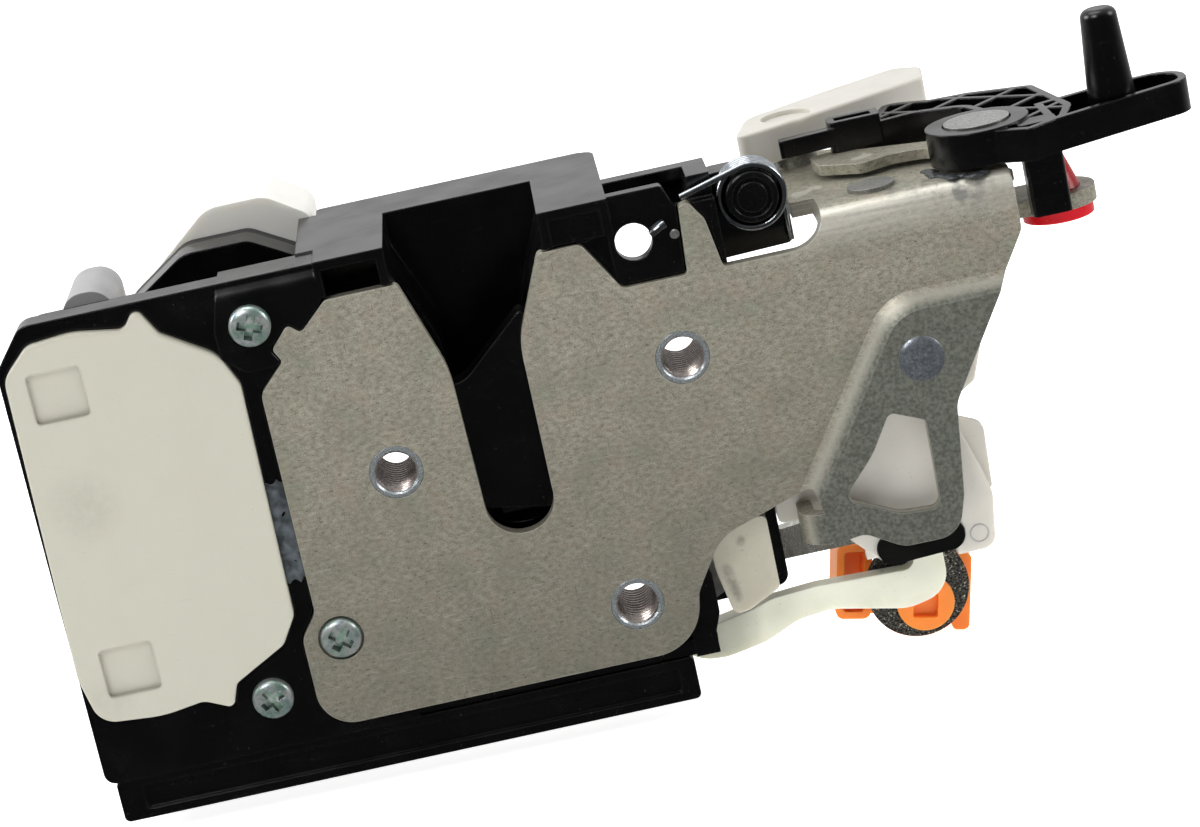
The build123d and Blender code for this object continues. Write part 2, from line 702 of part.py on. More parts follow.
def make_outside_lever():
    floor = 1.2
    sector = sector_outline()
    loop = loop_outline()
    lever = layer(sector, core_low, lever_top)
    lever -= layer(offset(sector, -rim), core_high + 0.1 + floor, lever_top + 1)
    lever -= layer(offset(sector, -rim), core_low - 1, core_high + 0.1)
    lever += layer(diamond_ribs(), core_high + 0.1, lever_top)
    lever += layer(loop, core_low, lever_top) - layer(offset(loop, -rim), core_low + floor, lever_top + 1)
    lever += pin(outside_x, outside_y, boss_r, core_low, lever_top + 0.4)
    block = outline((63.2, 26.8, 1.2), (72.0, 26.8, 0.5), (72.0, 31.8), (63.2, 31.8, 1.2))
    lever += layer(block, core_low, lever_top + 1.6)
    lever -= layer(offset(block, -rim), core_high + 2.0, lever_top + 3)
    finger = outline((54.4, 25.6, 0.6), (64.0, 26.8), (64.0, 29.4), (54.6, 28.0, 0.6))
    lever += layer(finger, core_high + 1.2, lever_top + 0.6)
    arm = outline((91.0, 1.6, 1), (97.4, 1.6, 1), (97.4, 6.2, 1), (91.0, 6.2, 1))
    lever += layer(arm, release_low + 1.2, lever_top)
    lever += pin(post_x, post_y, post_base_r, core_low, lever_top)
    post_height = post_top - lever_top
    post = Pos(post_x, post_y, lever_top + post_height / 2) * Cone(post_base_r, post_tip_r, post_height)
    post = fillet(post.edges().sort_by(Axis.Z)[-1], 1.4)
    lever += post
    lever -= layer(offset(core_outline(), 0.05), core_low - 1, core_high)
    lever -= pin(outside_x, outside_y, pivot_r + running, core_low - 1, lever_top + 1)
    return lever - pin(outside_x, outside_y, rivet_head_r + 0.3, lever_top - 0.6, lever_top + 1)


def core_outline():
    """Steel arm under the outside lever."""
    arm = outline(
        (78.5, 8.5, 2), (84.0, 4.6, 2), (91.0, 12.0, 3), (84.0, 19.0, 4), (61.5, 29.4, 1.2), (59.2, 27.8, 1.2),
        (59.8, 20.9, 2), (66.5, 15.8, 2), (71.5, 18.0, 3), (78.0, 17.0, 3),
    )
    return arm + Pos(outside_x, outside_y) * Circle(6.6)


def make_core():
    core = layer(core_outline(), core_low, core_high - seat)
    return core - pin(outside_x, outside_y, pivot_r + running, core_low - 1, core_high + 1)


def make_outside_rivet():
    """Rivet through the flange and the outside lever."""
    rivet = pin(outside_x, outside_y, pivot_r, flange_top - sheet - 1.4, lever_top)
    rivet += pin(outside_x, outside_y, rivet_head_r, lever_top - 0.5, lever_top + 0.7)
    rivet += pin(outside_x, outside_y, 4.6, flange_top, core_low - 0.1)
    return rivet + pin(outside_x, outside_y, 4.4, flange_top - sheet - 1.4, flange_top - sheet)


def make_release_lever():
    """Steel lever under the flange, with a round end for the rod bushing."""
    plan = outline(
        (60.8, 3.0, 5), (72.0, 3.0, 4), (88.0, 9.0, 8), (tip_x - 1, tip_y - tip_r, 2),
        (tip_x + tip_r, tip_y - tip_r, tip_r - 0.1), (tip_x + tip_r, tip_y + tip_r, tip_r - 0.1),
        (tip_x - 6, tip_y + tip_r, 5), (74.0, 14.6, 8), (60.8, 14.6, 5),
    )
    lever = layer(plan, release_low, release_low + release_thick)
    lever -= pin(tip_x, tip_y, rod_neck_r + seat, release_low - 1, release_low + 5)
    return lever - pin(release_x, release_y, pivot_r + running, release_low - 1, release_low + 5)


def make_rod_bushing():
    """Red bushing that the handle rod snaps into from below."""
    top = release_low + release_thick
    cone_height = 5.4
    bushing = pin(tip_x, tip_y, rod_disc_r, release_low - rod_disc, release_low)
    bushing += pin(tip_x, tip_y, rod_neck_r, release_low, top)
    bushing += Pos(tip_x, tip_y, top + cone_height / 2) * Cone(4.3, 2.4, cone_height)
    return bushing - pin(tip_x, tip_y, rod_bore_r, release_low - rod_disc - 1, top + 3.4)


def make_release_rivet():
    """Shouldered rivet that hangs the release lever under the flange."""
    top = release_low + release_thick
    rivet = pin(release_x, release_y, pivot_r, release_low - 1.3, flange_top)
    rivet += pin(release_x, release_y, 3.9, flange_top, flange_top + 0.7)
    rivet += pin(release_x, release_y, 4.8, top + 0.1, flange_top - sheet)
    return rivet + pin(release_x, release_y, 4.4, release_low - 1.4, release_low - 0.1)


def lock_lever_outline():
    return outline(
        (47.4, 28.8, 1.6), (50.6, 42.6, 6), (64.8, 51.2, 10), (79.0, 58.6, 3), (83.4, 55.0, 2.5),
        (82.3, 45.6, 1.2), (61.4, 34.9, 20), (53.8, 31.4, 8),
    )


def make_lock_lever():
    """White nylon lever with a round recess over its pivot."""
    lever = layer(lock_lever_outline(), lock_low, lock_high)
    lever = fillet(lever.faces().sort_by(Axis.Z)[-1].edges(), 0.5)
    lever -= pin(lock_x, lock_y, 4.4, lock_high - 0.8, lock_high + 1)
    return lever - pin(lock_x, lock_y, lock_pin_r + running, lock_low - 1, lock_high - 2.0)


def make_lock_pin():
    lock_pin = pin(lock_x, lock_y, lock_pin_r, flange_top - sheet - 1.0, lock_high - 2.2)
    lock_pin += pin(lock_x, lock_y, 4.0, flange_top, lock_low - 0.1)
    return lock_pin + pin(lock_x, lock_y, 3.6, flange_top - sheet - 1.0, flange_top - sheet)


# Levers behind the arm

def sleeve_outline():
    return outline((55.9, -25.6, 2.5), (70.6, -25.0, 2.5), (70.6, -20.0, 2.4), (55.9, -20.3, 2.5))


def sleeve_bar():
    """Bar of the bellcrank inside its rubber sleeve."""
    return slab(box_face(54.0, 72.0, -24.2, -21.8), crank_front + 1.0, crank_rear - 1.0)


def make_bellcrank():
    shape = outline(
        (62.0, 18.0, 5), (75.0, 17.5, 4), (79.2, 9.4, 3), (76.8, 2.6, 1.5), (72.6, 0.2, 4), (72.6, -4.4, 4),
        (75.2, -12.2, 6), (76.4, -17.0, 4), (75.3, -26.3, 2.4), (58.0, -26.3, 4), (51.4, -19.4, 2),
        (52.6, -10.0, 6),
    )
    crank = slab(shape, crank_front, crank_rear)
    crank += slab(outline(
        (70.0, -2.0), (73.7, -4.0, 1), (77.2, -5.6, 2), (76.8, -17.0, 0.8), (70.0, -17.0),
    ), crank_rear - 1.6, crank_rear)
    crank -= slab(offset(sleeve_outline(), 0.1), 0, crank_rear + 1)
    crank -= slab(box_face(57.0, 69.0, -30.0, -22.0), 0, crank_rear + 1)
    crank += sleeve_bar()
    crank += rod(crank_pin_x, crank_pin_z, crank_pin_r, crank_rear - 1.5, link_rear - 0.3)
    return crank - rod(stud_x, stud_z, pivot_r + running, 0, crank_rear + 1)


def make_sleeve():
    """Black rubber sleeve on the lower bar of the bellcrank."""
    sleeve = slab(sleeve_outline(), crank_front - 0.5, crank_rear + 0.5)
    sleeve -= sleeve_bar()
    return sleeve - rod(crank_pin_x, crank_pin_z, crank_pin_r + seat, crank_front + 1, link_rear)


def make_stud():
    """Stepped stud riveted in the arm. The bellcrank and the inside lever turn on it."""
    stud = rod(stud_x, stud_z, pivot_r, -arm_step, inside_rear + 0.2)
    stud += rod(stud_x, stud_z, 3.8, -arm_step - 0.7, -arm_step)
    stud += rod(stud_x, stud_z, 4.2, sheet - arm_step, crank_front - 0.1)
    stud += rod(stud_x, stud_z, 5.0, crank_rear + 0.1, inside_front - 0.1)
    return stud + rod(stud_x, stud_z, 4.8, inside_rear + 0.1, inside_rear + 1.4)


def make_link():
    """Link from the lock drive to the bellcrank. It bends towards the face past the housing."""
    plan = outline(
        (-60.0, link_back_front), (21.0, link_back_front, 5), (35.0, link_front, 5), (80.0, link_front),
        (80.0, link_rear), (36.4, link_rear, 5), (22.4, link_back_front + link_thick, 5),
        (-60.0, link_back_front + link_thick),
    )
    pin_x, pin_z = eccentric_place()
    side = outline(
        (pin_x - 4.2, pin_z + 4.5, 1), (pin_x - 4.2, -30.8, 3), (14.0, -30.8, 6), (23.0, -40.0, 6),
        (28.5, -38.9, 8), (41.0, -33.4, 8), (47.0, -32.8, 8), (59.5, -35.6, 8), (66.9, -34.0, 5),
        (66.9, -18.9, 1.5), (60.4, -18.9, 1.5),
        (62.4, -28.9, 2), (45.0, -28.3, 6), (37.0, -28.8, 6), (26.6, -33.4, 6), (22.0, -33.0, 4),
        (15.0, -26.6, 6),
        (pin_x + 4.2, -26.6, 1), (pin_x + 4.2, pin_z + 4.5, 1),
    )
    link = layer(plan, -50, 10) & slab(side, 0, 40)
    slot_half_width = crank_pin_r + 0.3
    link -= slab(box_face(crank_pin_x - slot_half_width, crank_pin_x + slot_half_width,
                          crank_pin_z - 2.4, -21.0, 1.7), 0, link_rear + 1)
    drive_slot = box_face(pin_x - slot_half_width, pin_x + slot_half_width, pin_z - 3.4, pin_z + 6.0)
    return link - slab(drive_slot, 0, 40)


def make_inside_lever():
    """Steel lever with a hub, a long arm to the rod clip and a side arm towards the pawl."""
    shape = outline(
        (61.6, 15.4, 6), (75.2, 15.4, 6), (74.0, 0.0, 6), (70.0, -16.0, 8), (69.6, -41.0, 6.4),
        (56.4, -41.0, 6.4),
        (56.4, -24.3, 1.5), (39.5, -24.3, 0.6), (39.5, -19.1, 0.6), (57.0, -17.6, 5), (61.0, 0.0, 6),
    )
    lever = slab(shape, inside_front, inside_rear)
    lever -= rod(clip_x, clip_z, clip_neck_r + seat, 0, 30)
    return lever - rod(stud_x, stud_z, pivot_r + running, 0, 30)


def make_felt():
    """Felt washer between the inside lever and the rod clip."""
    felt = rod(felt_x, felt_z, felt_r, felt_front, felt_front + felt_thick)
    return felt - rod(clip_x, clip_z, clip_r + seat, 0, 30)


def in_clip(face):
    """Outline drawn square to the clip, moved to its place."""
    return Pos(clip_x, clip_z) * Rot(0, 0, clip_turn) * face


def make_rod_clip():
    """Orange clip whose square socket holds the inside handle rod."""
    clip = rod(clip_x, clip_z, clip_r, felt_front - 0.3, inside_front - 0.1)
    clip += rod(clip_x, clip_z, clip_neck_r, inside_front - 0.2, inside_rear + 0.1)
    clip += slab(in_clip(box_face(-12.0, 7.0, -3.4, 2.2, 1)), inside_rear + 0.1, inside_rear + 6.5)
    clip += slab(in_clip(box_face(-14.6, -8.6, -4.4, 8.9, 1.4)), inside_rear + 0.1, inside_rear + 10.0)
    clip -= slab(in_clip(box_face(-13.3, -9.9, -3.1, 7.6, 0.5)), inside_rear, inside_rear + 6.0)
    clip += slab(in_clip(box_face(5.4, 8.4, -6.6, 7.0, 1)), inside_rear + 0.1, inside_rear + 10.0)
    return clip - slab(in_clip(box_face(-2.1, 2.1, -2.6, 1.6, 0.4)), 0, felt_front + 1.2)


def make_keeper():
    """Swinging keeper that closes over the rod, folded against the clip."""
    return slab(in_clip(box_face(-8.2, 5.0, -3.2, 1.6, 1)), inside_rear + 6.6, inside_rear + 9.0)


# Springs

def make_return_spring():
    """Torsion spring round its stud, one leg on the tab of the plate."""
    from_rear = Plane(origin=(coil_x, coil_rear, coil_z), x_dir=(1, 0, 0), z_dir=(0, -1, 0))
    return from_rear * torsion_spring(coil_wire, coil_turns, coil_r, 9.6, 10.4)


def make_spring_stud():
    """Black stud inside the spring, stepped at its face."""
    stud = rod(coil_x, coil_z, coil_r - coil_wire / 2 - 0.3, 1.0, floor_front)
    stud = fillet(stud.edges().sort_by(Axis.Y)[0], 0.6)
    stud -= ring(coil_x, coil_z, 3.2, 2.5, 0, 1.6)
    return stud


def make_well_spring(x, z):
    """Closing spring round a bush, resting on the floor of its well."""
    wire = 1.2
    turns = 2.5
    floor = well_rear - wire / 2
    from_floor = Plane(origin=(x, floor, z), x_dir=(1, 0, 0), z_dir=(0, -1, 0))
    return from_floor * torsion_spring(wire, turns, bush_r + 1.5, 0.6, 0.6)


nodes = {
    "face_plate": make_face_plate(),
    "claw_bush": make_bush(claw_x, claw_z),
    "pawl_bush": make_bush(pawl_x, pawl_z),
    "spacer_bush": make_bush(spacer_x, spacer_z),
    "back_plate": make_back_plate(),
    "latch_housing": make_housing(),
    "striker_bumper": make_bumper(),
    "lower_rail": make_rail(),
    "actuator_cover": make_cover(),
    "case_screws": make_screws(),
    "case_gasket": make_gasket(),
    "rear_case": make_rear_case(),
    "circuit_board": make_board(),
    "connector_shroud": make_socket(),
    "connector_pins": make_socket_pins(),
    "lock_motor": make_motor(),
    "motor_worm": make_worm(),
    "worm_wheel": make_wheel(),
    "wheel_axle": make_axle(),
    "claw": make_claw(),
    "claw_cover": make_claw_cover(),
    "pawl": make_pawl(),
    "pawl_tail": make_tail(),
    "outside_lever": make_outside_lever(),
    "outside_lever_core": make_core(),
    "outside_lever_rivet": make_outside_rivet(),
    "release_lever": make_release_lever(),
    "rod_bushing": make_rod_bushing(),
    "release_lever_rivet": make_release_rivet(),
    "lock_lever": make_lock_lever(),
    "lock_lever_pin": make_lock_pin(),
    "lock_bellcrank": make_bellcrank(),
    "bellcrank_sleeve": make_sleeve(),
    "bellcrank_stud": make_stud(),
    "lock_link": make_link(),
    "lever_guide": make_lever_guide(),
    "inside_lever": make_inside_lever(),
    "felt_washer": make_felt(),
    "rod_clip": make_rod_clip(),
    "clip_keeper": make_keeper(),
    "return_spring": make_return_spring(),
    "spring_stud": make_spring_stud(),
    "claw_spring": make_well_spring(claw_x, claw_z),
    "pawl_spring": make_well_spring(pawl_x, pawl_z),
}

for name, shape in nodes.items():
    export_step(shape, f"parts/{name}.step")
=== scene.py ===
# %% [markdown]
# # A vehicle door latch, dressed for its portrait
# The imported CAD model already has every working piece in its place. This notebook loads it as a
# fixed frame, gives each piece the finish of the real material, and adds small things such as
# screw threads and the cross recesses of the screws.

import bmesh
import bpy
import json
import math
import random
from mathutils import Matrix, Vector


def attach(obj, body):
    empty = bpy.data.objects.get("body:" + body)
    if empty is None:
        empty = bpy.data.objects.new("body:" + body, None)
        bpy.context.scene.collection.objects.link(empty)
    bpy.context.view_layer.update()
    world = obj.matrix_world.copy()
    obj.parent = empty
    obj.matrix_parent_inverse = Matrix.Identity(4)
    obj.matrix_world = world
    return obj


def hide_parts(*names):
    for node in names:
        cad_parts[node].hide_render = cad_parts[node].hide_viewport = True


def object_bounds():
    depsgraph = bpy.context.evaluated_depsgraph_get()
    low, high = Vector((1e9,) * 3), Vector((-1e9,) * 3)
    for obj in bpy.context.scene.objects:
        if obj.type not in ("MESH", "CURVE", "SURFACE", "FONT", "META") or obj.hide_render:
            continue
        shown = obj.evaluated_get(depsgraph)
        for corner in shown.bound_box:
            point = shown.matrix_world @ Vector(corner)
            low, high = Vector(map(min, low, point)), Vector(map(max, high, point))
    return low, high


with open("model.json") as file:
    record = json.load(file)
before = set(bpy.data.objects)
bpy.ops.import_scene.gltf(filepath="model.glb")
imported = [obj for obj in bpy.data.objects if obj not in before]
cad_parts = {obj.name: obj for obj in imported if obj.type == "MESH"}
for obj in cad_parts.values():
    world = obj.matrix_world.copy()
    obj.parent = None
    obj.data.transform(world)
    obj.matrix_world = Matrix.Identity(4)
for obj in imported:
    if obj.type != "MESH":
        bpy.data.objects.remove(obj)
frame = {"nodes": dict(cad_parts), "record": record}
cad_box = [list(corner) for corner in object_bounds()]
MM = 0.001
print("nodes:", len(frame["nodes"]), "box:", cad_box)

# %% [markdown]
# ## The camera
# The picture was taken from a little above the face plate, with the camera rolled so that the latch
# rises to the right. The camera is built from three directions, because that says plainly where it
# looks and how far it is rolled. A long lens keeps the plate's edges nearly parallel, as they are
# in the picture.

# %% Place the camera
def place_camera(place, elevation, roll, lens):
    camera = bpy.data.objects.new("camera", bpy.data.cameras.new("camera"))
    bpy.context.scene.collection.objects.link(camera)
    forward = Vector((0, math.cos(elevation), -math.sin(elevation)))
    across = Vector((1, 0, 0))
    upward = across.cross(forward)
    right = across * math.cos(roll) - upward * math.sin(roll)
    top = across * math.sin(roll) + upward * math.cos(roll)
    turn = Matrix((right, top, -forward)).transposed()
    camera.matrix_world = Matrix.Translation(place) @ turn.to_4x4()
    camera.data.lens = lens
    camera.data.sensor_width = 36.0
    camera.data.clip_start = 0.01
    bpy.context.scene.camera = camera
    return camera


camera = place_camera(Vector((0.0158, -0.5383, 0.1658)), math.radians(16.0), math.radians(12.3), 103.7)
print("camera at", tuple(round(value, 3) for value in camera.location))

# %% [markdown]
# ## Five helpers for shader nodes
# A colour is usually stated as sRGB hex, and a shader wants it linear, so one function turns the one
# into the other. The next adds a shader node with its settings and its links in one line, which keeps
# each material below short enough to read as a recipe. The last three are the nodes used most: a ramp,
# a mix of two colours and a sum or product of two values.

# %% Define the node helpers
def colour(code):
    channels = [int(code[place:place + 2], 16) / 255 for place in (1, 3, 5)]
    return [c / 12.92 if c <= 0.04045 else ((c + 0.055) / 1.055) ** 2.4 for c in channels] + [1.0]


def add_node(tree, kind, settings, **properties):
    """Add a node. Settings are socket values or links, by socket name or number."""
    node = tree.nodes.new("ShaderNode" + kind)
    for name, value in properties.items():
        setattr(node, name, value)
    for socket, value in settings.items():
        if isinstance(value, bpy.types.NodeSocket):
            tree.links.new(value, node.inputs[socket])
        else:
            node.inputs[socket].default_value = value
    return node


def span(tree, value, low, high, first=0.0, last=1.0):
    """Straight ramp from one range to another, held at both ends."""
    settings = {"Value": value, "From Min": low, "From Max": high, "To Min": first, "To Max": last}
    return add_node(tree, "MapRange", settings).outputs["Result"]


def blend(tree, factor, first, second, kind="MIX"):
    """Mix two colours, given as hex codes or links."""
    first, second = (colour(shade) if isinstance(shade, str) else shade for shade in (first, second))
    mixed = add_node(tree, "Mix", {0: factor, 6: first, 7: second}, data_type="RGBA", blend_type=kind)
    return mixed.outputs[2]


def combine(tree, kind, first, second=0.0):
    return add_node(tree, "Math", {0: first, 1: second}, operation=kind).outputs[0]


print("five node helpers")

# %% [markdown]
# ## Light
# Catalogue pictures of black plastic are lit from behind and above, so that the top faces carry a
# soft sheen and the fronts stay nearly black. The surroundings here are bright above and behind and
# dim in front, and four soft lamps add the shape. A lamp in front and high up brings out the grain
# of the steel, whose rough surface scatters light that the smooth plastic sends elsewhere.

# %% Build the studio
def soft_light(name, place, size, power):
    light = bpy.data.objects.new(name, bpy.data.lights.new(name, "AREA"))
    bpy.context.scene.collection.objects.link(light)
    light.data.shape = "DISK"
    light.data.size = size
    light.data.energy = power
    light.location = place
    light.rotation_euler = (Vector((0.02, 0, 0)) - Vector(place)).to_track_quat("-Z", "Y").to_euler()
    return light


soft_light("overhead", (-0.05, 0.10, 0.80), 0.6, 2.2)
soft_light("front_high", (-0.45, -0.65, 0.75), 0.5, 4.4)
soft_light("right_side", (0.80, -0.10, 0.35), 0.4, 2.0)
soft_light("left_rim", (-0.80, 0.15, 0.45), 0.5, 4.4)

world = bpy.data.worlds.new("studio")
bpy.context.scene.world = world
world.use_nodes = True
tree = world.node_tree
direction = add_node(tree, "TexCoord", {}).outputs["Generated"]
towards_back = add_node(tree, "VectorMath", {0: direction, 1: (0.0, 0.75, 0.66)}, operation="DOT_PRODUCT")
brightness = span(tree, towards_back.outputs["Value"], -0.30, 0.80, 0.05, 0.80)
tree.links.new(brightness, tree.nodes["Background"].inputs["Strength"])
tree.nodes["Background"].inputs["Color"].default_value = colour("#ffffff")
bpy.context.scene.view_settings.view_transform = "Standard"

# %% [markdown]
# ## Patterns that several finishes share
# Every pattern is measured in millimetres on the piece, so that a grain of 0.3 mm stays 0.3 mm on
# each piece. Moulded and pressed pieces have no perfectly sharp edge: a small shader bevel rounds
# the light on the edges. Where it bends the surface, handling wears the metal pale, and on the black
# plastic the edges are painted paler as a highlight.

# %% Define the pattern helpers
def millimetres(tree):
    """Place on the piece, in millimetres."""
    place = add_node(tree, "TexCoord", {}).outputs["Object"]
    return add_node(tree, "VectorMath", {0: place, "Scale": 1 / MM}, operation="SCALE").outputs[0]


def stretched(tree, place, lengths, turn=0.0):
    """Place divided by a length each way, so that a noise of size 1 gets those lengths."""
    scale = tuple(1 / length for length in lengths)
    settings = {"Vector": place, "Scale": scale, "Rotation": (0.0, math.radians(turn), 0.0)}
    return add_node(tree, "Mapping", settings).outputs[0]


def noise(tree, place, size, detail=2.0):
    settings = {"Vector": place, "Scale": 1 / size, "Detail": detail}
    return add_node(tree, "TexNoise", settings).outputs["Fac"]


def soft_edges(tree, radius):
    """Normal rounded over the edges, and how far each spot is bent by it."""
    rounded = add_node(tree, "Bevel", {"Radius": radius * MM}, samples=4).outputs["Normal"]
    true = add_node(tree, "NewGeometry", {}).outputs["Normal"]
    alike = add_node(tree, "VectorMath", {0: rounded, 1: true}, operation="DOT_PRODUCT").outputs["Value"]
    return rounded, span(tree, alike, 0.98, 0.80)


def bump(tree, normal, height, depth, strength=1.0):
    settings = {"Height": height, "Distance": depth * MM, "Strength": strength, "Normal": normal}
    return add_node(tree, "Bump", settings).outputs["Normal"]


def near(tree, place, centre, radius):
    """One at a point, falling to nothing at a radius."""
    distance = add_node(tree, "VectorMath", {0: place, 1: centre}, operation="DISTANCE").outputs["Value"]
    return span(tree, distance, radius, radius * 0.3)


def new_material(name):
    material = bpy.data.materials.new(name)
    material.use_nodes = True
    tree = material.node_tree
    return material, tree, tree.nodes["Principled BSDF"]


def apply(tree, shader, base, roughness, normal, metallic=0.0):
    settings = {"Base Color": base, "Roughness": roughness, "Normal": normal, "Metallic": metallic}
    for socket, value in settings.items():
        if isinstance(value, bpy.types.NodeSocket):
            tree.links.new(value, shader.inputs[socket])
        else:
            shader.inputs[socket].default_value = value


finishes = {}
print("pattern helpers ready")

# %% [markdown]
# ## Zinc plated sheet
# The face plate is pressed from zinc plated strip. Zinc freezes in small grains and then dulls, so
# the plate looks like fine grey sand, faintly warm in some patches and faintly green in others, with
# darker specks and short bright scratches; painted shade darkens it towards the bottom. The raised
# arm is a darker, grainier grey, and its sloped rim is smooth. Round the bend to the flange a broad
# bright band with streaks along the bend is painted in as a highlight, and the roughness is a little
# lower there. Grey grease is smeared on the flange beside the lever's foot.

# %% Make the plated finish
bend_start = (29.5, 33.5)
bend_end = (36.35, 36.05)
bend_left = (42.0, 48.0)
smear_places = [((79.0, 4.0, 37.0), 9.0), ((67.0, 8.0, 37.0), 7.0)]


def plated(name, light, dark, roughness):
    material, tree, shader = new_material(name)
    place = millimetres(tree)
    axes = add_node(tree, "SeparateXYZ", {0: place}).outputs
    normal, edge_wear_and_sheen = soft_edges(tree, 0.25)
    fine = noise(tree, place, 0.22, 2.0)
    mottle = noise(tree, stretched(tree, place, (1.1, 0.8, 0.7), 35), 1.0, 4.0)
    grain = combine(tree, "MULTIPLY", combine(tree, "ADD", fine, mottle), 0.5)
    base = blend(tree, span(tree, grain, 0.38, 0.62), dark, light)
    base = blend(tree, span(tree, noise(tree, place, 7.0, 4.0), 0.35, 0.72, 0.0, 0.45), base, "#86847a")
    base = blend(tree, span(tree, noise(tree, place, 5.0, 3.0), 0.50, 0.70, 0.0, 0.30), base, "#b5a08f")
    base = blend(tree, span(tree, noise(tree, place, 6.5, 3.0), 0.52, 0.72, 0.0, 0.30), base, "#8f9a80")
    # Painted shade: the plate darkens towards the bottom.
    base = blend(tree, span(tree, axes["Z"], 24.0, -30.0, 0.0, 0.48), base, "#69665a")
    specks = noise(tree, stretched(tree, place, (0.9, 0.5, 0.4), 20), 1.0, 4.0)
    base = blend(tree, span(tree, specks, 0.61, 0.67, 0.0, 0.55), base, "#4c4b45")
    arm = span(tree, axes["Y"], -0.9, -1.9)
    flat = combine(tree, "SUBTRACT", 1.0, arm)
    slope = combine(tree, "MULTIPLY", span(tree, axes["Y"], -0.05, -0.9), flat)
    bright = noise(tree, stretched(tree, place, (7.0, 7.0, 0.14), 38), 1.0, 2.0)
    scratches = combine(tree, "MULTIPLY", flat, span(tree, bright, 0.66, 0.71, 0.0, 0.5))
    base = blend(tree, scratches, base, "#dedcd2")
    scored = noise(tree, stretched(tree, place, (0.15, 6.0, 5.0), -12), 1.0, 2.0)
    base = blend(tree, span(tree, scored, 0.66, 0.72, 0.0, 0.6), base, "#45443e")
    arm_base = blend(tree, span(tree, noise(tree, place, 0.6, 5.0), 0.36, 0.64), "#565a53", "#7c8077")
    base = blend(tree, combine(tree, "MULTIPLY", arm, 0.85), base, arm_base)
    base = blend(tree, combine(tree, "MULTIPLY", slope, 0.8), base, "#aeaca0")
    # Painted highlight: a bright streaked band round the bend to the flange, where the roughness is also a
    # little lower.
    bend_highlight = combine(tree, "MULTIPLY", span(tree, axes["Z"], *bend_start), span(tree, axes["Z"], *bend_end))
    bend_highlight = combine(tree, "MULTIPLY", bend_highlight, span(tree, axes["X"], *bend_left))
    streaks = noise(tree, stretched(tree, place, (16.0, 0.7, 0.7)), 1.0, 3.0)
    streaked_highlight = combine(tree, "MULTIPLY", bend_highlight, span(tree, streaks, 0.35, 0.7, 0.35, 0.85))
    base = blend(tree, streaked_highlight, base, "#dedbd1")
    smears = [near(tree, place, centre, radius) for centre, radius in smear_places]
    smear = combine(tree, "MAXIMUM", *smears)
    smear = combine(tree, "MULTIPLY", smear, span(tree, noise(tree, place, 2.2, 4.0), 0.48, 0.62, 0.0, 0.75))
    base = blend(tree, smear, base, "#55595c")
    base = blend(tree, combine(tree, "MULTIPLY", edge_wear_and_sheen, 0.5), base, "#dcdad0")
    rough = span(tree, grain, 0.3, 0.7, roughness + 0.08, roughness - 0.08)
    rough = combine(tree, "SUBTRACT", rough, combine(tree, "MULTIPLY", bend_highlight, 0.06))
    normal = bump(tree, normal, grain, 0.018, 0.7)
    apply(tree, shader, base, rough, normal, 0.5)
    return material


finishes["plate_steel"] = plated("zinc_plated_steel", "#c2bdad", "#8a8776", 0.44)
print("plated:", len(finishes["plate_steel"].node_tree.nodes), "nodes")

# %% [markdown]
# ## Plain steel: pressed, turned and drawn
# The claw, the pawl and the back plate are pressed from harder strip and stay oiled, so they are
# darker and smoother. Bushes, rivets and studs are turned: their faces carry fine rings about their
# axis, seen here as a fine even scratch. Spring wire is drawn through a die, which leaves it bright
# with streaks along the wire.

# %% Make the steel finishes
def steel(name, light, dark, roughness, lengths, metallic=0.8):
    material, tree, shader = new_material(name)
    place = millimetres(tree)
    normal, edge_wear_and_sheen = soft_edges(tree, 0.15)
    streaks = noise(tree, stretched(tree, place, lengths), 1.0, 3.0)
    base = blend(tree, span(tree, streaks, 0.3, 0.7), dark, light)
    stain = span(tree, noise(tree, place, 3.0, 4.0), 0.50, 0.75, 0.0, 0.3)
    base = blend(tree, stain, base, "#5c5a52")
    base = blend(tree, combine(tree, "MULTIPLY", edge_wear_and_sheen, 0.6), base, "#e2e0da")
    rough = span(tree, streaks, 0.3, 0.7, roughness + 0.1, roughness - 0.05)
    apply(tree, shader, base, rough, bump(tree, normal, streaks, 0.01, 0.6), metallic)
    return material


finishes["inner_steel"] = steel("oiled_pressed_steel", "#a09f9a", "#75746f", 0.36, (3.0, 0.3, 3.0))
finishes["rivet_steel"] = steel("turned_steel", "#b4b4b0", "#8b8c8a", 0.32, (0.4, 0.4, 0.4))
finishes["bush_steel"] = steel("turned_bush_steel", "#dde3e6", "#a3acb0", 0.26, (0.3, 0.3, 0.3))
finishes["lever_steel"] = steel("rubbed_lever_steel", "#dad8cf", "#aeaca2", 0.24, (0.6, 3.0, 3.0))
finishes["spring_steel"] = steel("drawn_spring_wire", "#c4cad0", "#9aa0a6", 0.12, (0.8, 0.3, 0.8), 1.0)
finishes["thread_steel"] = steel("cut_thread_steel", "#dccfc8", "#9a8e88", 0.24, (0.4, 0.4, 0.4))
finishes["motor_can"] = steel("drawn_motor_can", "#b4b4b0", "#8e8e8a", 0.3, (6.0, 6.0, 0.3))
finishes["bronze"] = steel("tinned_bronze_blade", "#cbb27a", "#a58a50", 0.3, (0.3, 3.0, 0.3))
print("steels:", sorted(finishes))
